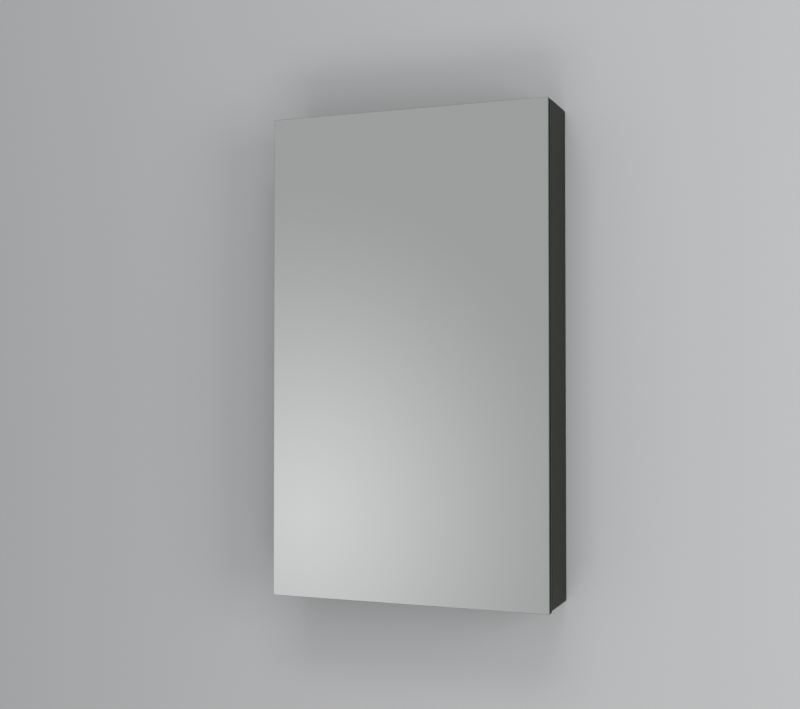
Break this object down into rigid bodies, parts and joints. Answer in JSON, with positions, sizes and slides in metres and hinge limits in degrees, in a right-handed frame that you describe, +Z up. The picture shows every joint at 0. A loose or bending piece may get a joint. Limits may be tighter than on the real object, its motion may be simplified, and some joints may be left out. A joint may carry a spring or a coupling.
{
  "type": "mirror cabinet",
  "caption": "Slim wall-hung bathroom mirror cabinet with a single mirrored door on cup hinges, glass shelves inside and hook-on wall plates behind.",
  "frame": {"origin": "centre of the four wall screws, on the wall's face", "axes": "+X to the right as seen from the front, +Y into the wall, +Z up; the door's mirror faces -Y"},
  "size_m": [0.4, 0.096, 0.675],
  "materials": {
    "board": "matt anthracite melamine facing on a wood board",
    "back_board": "matt anthracite foil on thin hardboard",
    "door_board": "black dyed fibre board",
    "mirror_glass": "silvered float glass, ground edges",
    "shelf_glass": "clear toughened glass, ground edges",
    "zinc_steel": "bright zinc plate",
    "nickel_steel": "nickel plate",
    "rivet_steel": "plain ground steel",
    "nickel_support": "polished nickel plate",
    "housing_plastic": "moulded, matt",
    "dowel_wood": "plain turned beech",
    "dowel_plastic": "moulded, matt",
    "clear_rubber": "clear silicone"
  },
  "bodies": {
    "case": {"side_panel_left": "board", "side_panel_right": "board", "top_panel": "board", "bottom_panel": "board", "back_panel": "back_board", "corner_dowels": "dowel_wood", "glass_shelf_upper": "shelf_glass", "glass_shelf_lower": "shelf_glass", "shelf_supports": "nickel_support", "shelf_pads": "clear_rubber", "wall_plate_left": "zinc_steel", "wall_plate_right": "zinc_steel", "hanger_body_left": "housing_plastic", "hanger_body_right": "housing_plastic", "hanger_hook_left": "zinc_steel", "hanger_hook_right": "zinc_steel", "hanger_adjusters": "zinc_steel", "mounting_plate_upper": "nickel_steel", "mounting_plate_lower": "nickel_steel", "plate_screws": "nickel_steel", "hinge_arm_upper": "nickel_steel", "hinge_arm_lower": "nickel_steel", "arm_screws": "nickel_steel", "arm_pins": "rivet_steel", "door_buffers": "clear_rubber"},
    "outer_link_upper": {"outer_link_upper": "nickel_steel"},
    "outer_link_lower": {"outer_link_lower": "nickel_steel"},
    "inner_link_upper": {"inner_link_upper": "nickel_steel"},
    "inner_link_lower": {"inner_link_lower": "nickel_steel"},
    "door": {"front_mirror": "mirror_glass", "door_core": "door_board", "inner_mirror": "mirror_glass", "hinge_cup_upper": "nickel_steel", "hinge_cup_lower": "nickel_steel", "cup_pins": "rivet_steel", "cup_dowels": "dowel_plastic", "cup_screws": "nickel_steel"}
  },
  "joints": [
    {"name": "door_opening", "type": "hinge", "parent": "outer_link_upper", "child": "door", "pos_m": [-0.1883, -0.0832, -0.019], "axis": [0, 0, -1], "range_deg": [0, 134.9]},
    {"name": "outer_link_upper_turn", "type": "hinge", "parent": "case", "child": "outer_link_upper", "pos_m": [-0.1693, -0.0803, -0.019], "axis": [0, 0, 1], "range_deg": [0, 40.5]},
    {"name": "outer_link_lower_turn", "type": "hinge", "parent": "case", "child": "outer_link_lower", "pos_m": [-0.1693, -0.0803, -0.4915], "axis": [0, 0, 1], "range_deg": [0, 40.5]},
    {"name": "inner_link_upper_turn", "type": "hinge", "parent": "door", "child": "inner_link_upper", "pos_m": [-0.1897, -0.0888, -0.019], "axis": [0, 0, 1], "range_deg": [0, 104]},
    {"name": "inner_link_lower_turn", "type": "hinge", "parent": "door", "child": "inner_link_lower", "pos_m": [-0.1897, -0.0888, -0.4915], "axis": [0, 0, 1], "range_deg": [0, 104]}
  ],
  "couplings": [
    {"joint": "outer_link_upper_turn", "follows": "door_opening", "ratio": 0.29578},
    {"joint": "outer_link_lower_turn", "follows": "door_opening", "ratio": 0.29578},
    {"joint": "inner_link_upper_turn", "follows": "door_opening", "ratio": 0.76549},
    {"joint": "inner_link_lower_turn", "follows": "door_opening", "ratio": 0.76549}
  ]
}
